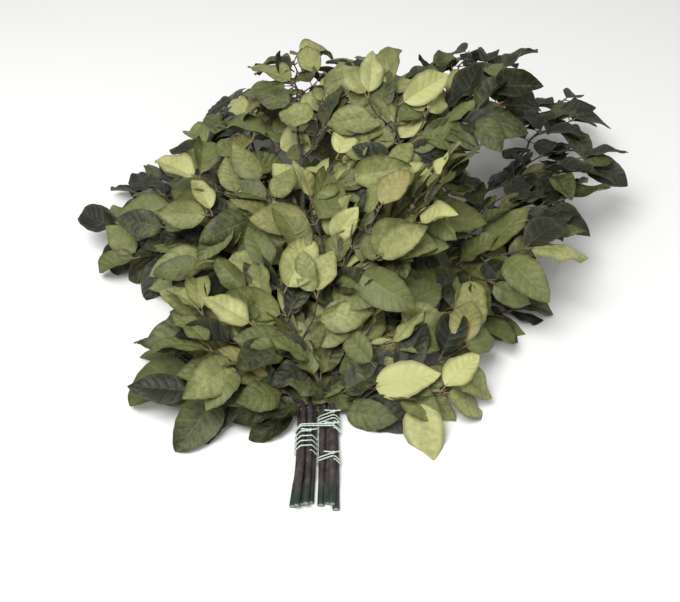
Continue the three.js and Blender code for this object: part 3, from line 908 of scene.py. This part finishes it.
def leaf_material(s):
    """Satin preserved leaf: paler side veins and midrib, a mottled blade whose tone holds painted shade in part, a
    browned margin darkened further by painted shade along the rim, a duller underside.
    """
    shader = Shader("preserved leaf")
    blade, look = shader.attribute("blade"), shader.attribute("look")
    vein_place, across, under = (blade.part(axis) for axis in "XYZ")
    tone, warmth, offset = (look.part(axis) for axis in "XYZ")
    side_vein = 1 - abs((vein_place + 0.5).fraction() - 0.5).step(0.02, 0.12)
    midrib = 1 - abs(across).step(0.015, 0.06)
    on_blade = 1 - under.step(1.4, 1.6)
    below = under.step(0.4, 0.9) * on_blade
    veins = (side_vein * 0.6 + midrib).step(0.0, 1.0)
    blotches = shader.noise(38.0, 3.0)
    mottling = shader.noise(230.0, 3.0)
    net = {"Vector": shader.place(), "Scale": 620.0}
    cells = shader.node("ShaderNodeTexVoronoi", {"feature": "DISTANCE_TO_EDGE"}, net, "Distance").step(0.0, 0.25)
    # The tone from leaf_looks holds painted shade, so the mix towards the deep colour paints shade in part; the noise
    # is the leaves' own blotching and mottling.
    level = tone + (blotches - 0.5) * 0.5 + (mottling - 0.5) * 0.35
    deep = shader.mix(level.step(0.0, 0.45), s.deep, s.middle)
    colour = shader.mix(level.step(0.4, 1.0), deep, s.light)
    brown = (warmth + (blotches - 0.5) * 0.8).step(0.45, 1.0)
    # The margin tint is partly the margins' browning and partly painted shade, a dark outline along the rims.
    browned_and_shaded_rim = abs(across).step(0.72, 1.0) * on_blade
    tints = (
        (brown * 0.8, s.brown),
        (browned_and_shaded_rim * (0.35 + mottling * 0.4), s.margin),
        (veins * on_blade * (0.06 + level * 0.26), s.vein),
        (below * 0.3, s.underside),
        ((1 - on_blade) * 0.8, s.stalk),
    )
    colour = shader.tint(colour, tints)
    height = cells * 0.25 + mottling * 0.5 - veins * 0.8 * (1 - below * 2)
    roughness = 0.4 + mottling * 0.12 + below * 0.12 + (1 - cells) * 0.04 + offset * 0.05
    return shader.finish(colour, roughness, height, 0.00035, Specular_IOR_Level=0.36)


def bark_material(s):
    """Smooth grey-brown bark with fine grain, paler patches and lenticels, and the dye's stain at the cut ends."""
    shader = Shader("beech bark")
    wood = shader.attribute("wood")
    marks, end, bud = (wood.part(axis) for axis in "XYZ")
    is_stem = 1 - bud.step(-0.6, -0.4)
    place = shader.place()
    stretched = shader.node("ShaderNodeMapping", {}, {"Vector": place, "Scale": (1.0, 0.18, 1.0)})
    grain = shader.noise(900.0, 4.0, stretched)
    patches = shader.noise(70.0, 3.0)
    dots = shader.node("ShaderNodeTexVoronoi", {}, {"Vector": place, "Scale": 260.0}, "Distance")
    lenticels = 1 - dots.step(0.12, 0.24)
    colour = shader.mix(patches.step(0.35, 0.7), s.dark, s.pale)
    is_bud, is_end = bud.step(0.4, 0.6), end.step(0.05, 0.2)
    stain = (1 - (marks + patches * 30.0).step(14.0, 52.0)) * (1 - is_bud) * is_stem
    rings = abs((end * 7.0).fraction() - 0.5).step(0.0, 0.5) * is_end
    tints = (
        (grain.step(0.4, 0.75) * 0.4, s.pale),
        (lenticels * 0.55, s.lenticel),
        (is_bud, s.bud_colour),
        (stain * 0.75, s.stain),
        (is_end, s.cut),
        (rings * 0.35, s.stain),
    )
    colour = shader.tint(colour, tints)
    height = grain * 0.5 + patches * 0.3 + lenticels * 0.5
    return shader.finish(colour, 0.62 + grain * 0.2, height, 0.0004, Specular_IOR_Level=0.4)


def twine_material(s):
    """Pale waxed twine: fine fibres and patches of soil, in a darker colour."""
    shader = Shader("pale twine")
    twine = shader.attribute("twine")
    fibres = shader.noise(1800.0, 3.0)
    soil = shader.noise(160.0, 2.0)
    colour = shader.mix(soil.step(0.35, 0.75) * 0.5, s.colour, s.soiled)
    colour = shader.mix(fibres.step(0.45, 0.7) * 0.3, colour, s.soiled)
    height = fibres + twine.part("Z")
    return shader.finish(colour, 0.6 + fibres * 0.2, height, 0.0002)


def floor_material(colour):
    """Plain matt floor with a faint unevenness in its finish."""
    shader = Shader("pale floor")
    return shader.finish(colour, 0.75 + shader.noise(3.0) * 0.1, shader.noise(40.0), 0.00005)


# Settings


def colour_setting(name, description, code):
    return FloatVectorProperty(
        name=name, description=description, subtype="COLOR", size=3, min=0, max=1, default=linear(code)
    )


def length_setting(name, description, default):
    return FloatProperty(name=name, description=description, default=default, min=0, unit="LENGTH", precision=5)


class BranchLeafSettings(bpy.types.PropertyGroup):
    """Sizes and colours of the leaves."""

    veins: IntProperty(name="Side veins", description="Pairs of side veins on a blade", default=7, min=5, max=9)
    thickness: length_setting("Thickness", "Thickness of a blade beside its midrib", 0.00034)
    midrib: length_setting("Midrib", "How far the midrib stands out below", 0.0007)
    corrugation: FloatProperty(name="Corrugation", description="Rise between side veins, in mm", default=0.55)
    wave: FloatProperty(name="Wave", description="Height of the waves of the margin, in mm", default=2.2)
    curl: FloatProperty(name="Curl", description="How far margins curl up or down, in mm", default=5.0)
    teeth: FloatProperty(name="Teeth", description="Swell of the margin at each vein, as a share", default=0.035)
    deep: colour_setting("Deep", "Shaded and outer leaves", "1f2416")
    middle: colour_setting("Middle", "Most leaves", "636a3a")
    light: colour_setting("Light", "The palest leaves", "b4b678")
    brown: colour_setting("Brown", "Leaves that turned yellow-brown", "917b4b")
    # Margin colour: partly the margins' browning, partly painted shade along the rims
    margin: colour_setting("Margin", "Browned margins", "4a4426")
    vein: colour_setting("Vein", "Midrib and side veins", "aeab7e")
    underside: colour_setting("Underside", "Tint of the underside", "979878")
    stalk: colour_setting("Stalk", "Leaf stalks", "6b5a44")


class BranchWoodSettings(bpy.types.PropertyGroup):
    """Sizes and colours of stems and twigs."""

    bud: length_setting("Bud", "Length of a bud", 0.0075)
    dark: colour_setting("Dark", "Dark bark", "241f1e")
    pale: colour_setting("Pale", "Pale bark", "463e3b")
    lenticel: colour_setting("Lenticel", "Small pale dots on the bark", "80766b")
    bud_colour: colour_setting("Bud scales", "Bud scales", "7a5c40")
    cut: colour_setting("Cut", "Cut ends", "8fa08c")
    stain: colour_setting("Stain", "Dye at the cut ends", "17332b")


class BranchTwineSettings(bpy.types.PropertyGroup):
    """Sizes and colours of the twine."""

    lay: length_setting("Lay", "Length in which the twine's strands go once round", 0.0042)
    colour: colour_setting("Twine", "Clean twine", "cfdfd0")
    soiled: colour_setting("Soiled", "Shaded and soiled twine", "93a595")


class BranchStageSettings(bpy.types.PropertyGroup):
    """Floor, light and camera."""

    floor: colour_setting("Floor", "Pale floor", "f4f4f2")
    key: FloatProperty(name="Key", description="Power of the main light", default=42.0, min=0, unit="POWER")
    fill: FloatProperty(name="Fill", description="Power of the fill light", default=4.0, min=0, unit="POWER")
    sky: FloatProperty(name="Sky", description="Strength of the even light", default=0.5, min=0)


class BranchSettings(bpy.types.PropertyGroup):
    """All settings of the bunch."""

    leaf: PointerProperty(type=BranchLeafSettings)
    wood: PointerProperty(type=BranchWoodSettings)
    twine: PointerProperty(type=BranchTwineSettings)
    stage: PointerProperty(type=BranchStageSettings)


# Operators

_grown = {}


def bunch():
    """The grown bunch, worked out once."""
    if not _grown:
        _grown["stems"], _grown["sprays"] = grow_bunch()
    return _grown["stems"], _grown["sprays"]


def keep(surface, name, material, node):
    """Makes a finished piece with the given material, which rides on the body and stands for a CAD node, whose part it
    hides.
    """
    made = surface.to_object(name, material)
    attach(made, "root")
    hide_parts(node)


def wood_finish(settings):
    """The bark that stems and twigs share."""
    return bpy.data.materials.get("beech bark") or bark_material(settings.wood)


def leaf_looks(leaves, random):
    """Tone, warmth and a finish offset of each leaf. The darkening inside the bunch is all painted shade; leaves low
    down, at the far right, towards the back and at the outer left are darker partly as painted shade and partly as
    darker leaves. A few have turned brown."""
    middle = np.array([(leaf["base"] + leaf["tip"]) / 2 for leaf in leaves])
    x, y, z = middle[:, 0], middle[:, 1], middle[:, 2]
    # Painted shade in part and darker leaves in part: the tone falls to the right, at the outer left, low down and
    # towards the back.
    right = ease((x - 50) / 180) * ease((y + 190) / 130)
    left = ease((-x - 110) / 170) * ease((190 - z) / 120)
    low = ease((70 - z) / 60)
    far = ease((y - 150) / 220)
    tone = 0.67 - 0.66 * right - 0.46 * left - 0.14 * low - 0.28 * far
    # The inner leaves' painted shade comes off the tone here.
    tone = tone - np.array([leaf["shade"] for leaf in leaves]) + random.normal(0, 0.19, len(leaves))
    warmth = random.uniform(0, 1, len(leaves)) ** 3 * (0.35 + 0.6 * tone)
    return np.stack([np.clip(tone, 0, 1), warmth, random.uniform(-1, 1, len(leaves))], axis=1)


class OBJECT_OT_branch_leaves(bpy.types.Operator):
    """Builds the leaves of every spray."""

    bl_idname = "object.branch_leaves"
    bl_label = "Leaves"
    bl_options = {"REGISTER", "UNDO"}

    def execute(self, context):
        settings = context.scene.branches
        material = leaf_material(settings.leaf)
        for i, spray in enumerate(bunch()[1]):
            surface, random = Surface(), np.random.default_rng(100 + i)
            look = leaf_looks(spray["leaves"], random)
            sheet = add_blades(surface, spray["leaves"], settings.leaf, random, look)
            add_petioles(surface, spray["leaves"], sheet, look)
            keep(surface, spray["name"].replace("spray", "leaves"), material, spray["name"])
        return {"FINISHED"}


class OBJECT_OT_branch_twigs(bpy.types.Operator):
    """Builds the three twigs of every spray, with their buds."""

    bl_idname = "object.branch_twigs"
    bl_label = "Twigs"
    bl_options = {"REGISTER", "UNDO"}

    def execute(self, context):
        settings = context.scene.branches
        material = wood_finish(settings)
        for i, spray in enumerate(bunch()[1]):
            surface, random = Surface(), np.random.default_rng(500 + i)
            place, twigs = spray["place"], spray["twigs"]
            back = place["along"] * 12 if spray["terminal"] else 0
            starts = [place["point"] - back, twigs[0]["points"][0], twigs[0]["points"][1]]
            for twig, start in zip(twigs, starts):
                add_twig(surface, twig, start, random)
                add_buds(surface, twig, settings.wood, random)
            keep(surface, spray["name"].replace("spray", "twigs"), material, spray["name"])
        return {"FINISHED"}


class OBJECT_OT_branch_stems(bpy.types.Operator):
    """Builds the nine stems."""

    bl_idname = "object.branch_stems"
    bl_label = "Stems"
    bl_options = {"REGISTER", "UNDO"}

    def execute(self, context):
        settings = context.scene.branches
        material = wood_finish(settings)
        for i, grown in enumerate(bunch()[0]):
            surface, random = Surface(), np.random.default_rng(900 + i)
            add_stem(surface, grown, random)
            keep(surface, f"bark_{grown['name']}", material, grown["name"])
        return {"FINISHED"}


class OBJECT_OT_branch_ties(bpy.types.Operator):
    """Builds the four windings of twine, each with a knot and two short tails."""

    bl_idname = "object.branch_ties"
    bl_label = "Ties"
    bl_options = {"REGISTER", "UNDO"}

    def execute(self, context):
        settings = context.scene.branches
        material = twine_material(settings.twine)
        for name, stems, y, pitch, turns in TIES:
            surface, path = Surface(), winding_path(stems, y, pitch, turns)
            add_twine(surface, path, (0, 1, 0), settings.twine)
            add_knot(surface, path[-1], settings.twine)
            keep(surface, f"twine_{name}", material, name)
        return {"FINISHED"}


FLOOR_HALF = 6.0
KEY_PLACE, KEY_SIZE = (-0.6, -0.9, 1.9), 1.1
FILL_PLACE, FILL_SIZE = (0.9, -1.3, 1.3), 1.6
SENSOR_WIDTH = 36.0
LENS = 900 / 680 * SENSOR_WIDTH
CAMERA_PLACE = (BUNDLE_X * MM + 0.023, (BUNDLE_Y - 76) * MM - 0.50, 0.74)
CAMERA_DOWN = 43


class OBJECT_OT_branch_stage(bpy.types.Operator):
    """Builds the pale floor, the soft light and the camera."""

    bl_idname = "object.branch_stage"
    bl_label = "Stage"
    bl_options = {"REGISTER", "UNDO"}

    def execute(self, context):
        settings = context.scene.branches
        stage = settings.stage
        mesh = bpy.data.meshes.new("floor")
        ends = (-FLOOR_HALF, FLOOR_HALF)
        mesh.from_pydata([(x, y, 0) for x in ends for y in ends], [], [(0, 2, 3, 1)])
        mesh.materials.append(floor_material(stage.floor))
        floor = bpy.data.objects.new("floor", mesh)
        bpy.context.scene.collection.objects.link(floor)
        lights = (("key", stage.key, KEY_PLACE, KEY_SIZE), ("fill", stage.fill, FILL_PLACE, FILL_SIZE))
        for name, power, place, size in lights:
            light = bpy.data.lights.new(name, "AREA")
            light.energy, light.size = power, size
            lamp = bpy.data.objects.new(name, light)
            lamp.location = place
            bpy.context.scene.collection.objects.link(lamp)
            look = lamp.location.copy()
            look.negate()
            lamp.rotation_euler = look.to_track_quat("-Z", "Y").to_euler()
        world = bpy.data.worlds.new("even light")
        world.use_nodes = True
        background = world.node_tree.nodes["Background"]
        background.inputs["Color"].default_value = (1, 1, 1, 1)
        background.inputs["Strength"].default_value = stage.sky
        bpy.context.scene.world = world
        bpy.context.scene.view_settings.view_transform = "Standard"
        data = bpy.data.cameras.new("camera")
        data.sensor_width, data.lens = SENSOR_WIDTH, LENS
        camera = bpy.data.objects.new("camera", data)
        camera.location = CAMERA_PLACE
        camera.rotation_euler = (math.radians(90 - CAMERA_DOWN), 0, 0)
        bpy.context.scene.collection.objects.link(camera)
        bpy.context.scene.camera = camera
        return {"FINISHED"}


OPERATORS = (
    OBJECT_OT_branch_stage,
    OBJECT_OT_branch_stems,
    OBJECT_OT_branch_ties,
    OBJECT_OT_branch_twigs,
    OBJECT_OT_branch_leaves,
)


class VIEW3D_PT_branches(bpy.types.Panel):
    """Lists the operators and their settings."""

    bl_label = "Beech Branches"
    bl_idname = "VIEW3D_PT_branches"
    bl_space_type = "VIEW_3D"
    bl_region_type = "UI"
    bl_category = "Branches"

    def draw(self, context):
        settings = context.scene.branches
        for operator in OPERATORS:
            self.layout.operator(operator.bl_idname)
        for group in (settings.leaf, settings.wood, settings.twine, settings.stage):
            box = self.layout.box()
            for name in group.__annotations__:
                box.prop(group, name)


CLASSES = (
    BranchLeafSettings,
    BranchWoodSettings,
    BranchTwineSettings,
    BranchStageSettings,
    BranchSettings,
    *OPERATORS,
    VIEW3D_PT_branches,
)


def register():
    for cls in CLASSES:
        bpy.utils.register_class(cls)
    bpy.types.Scene.branches = PointerProperty(type=BranchSettings)


def unregister():
    del bpy.types.Scene.branches
    for cls in reversed(CLASSES):
        bpy.utils.unregister_class(cls)


def main():
    register()
    bpy.ops.object.branch_stage()
    bpy.ops.object.branch_stems()
    bpy.ops.object.branch_ties()
    bpy.ops.object.branch_twigs()
    bpy.ops.object.branch_leaves()
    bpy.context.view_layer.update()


if __name__ == "__main__":
    main()
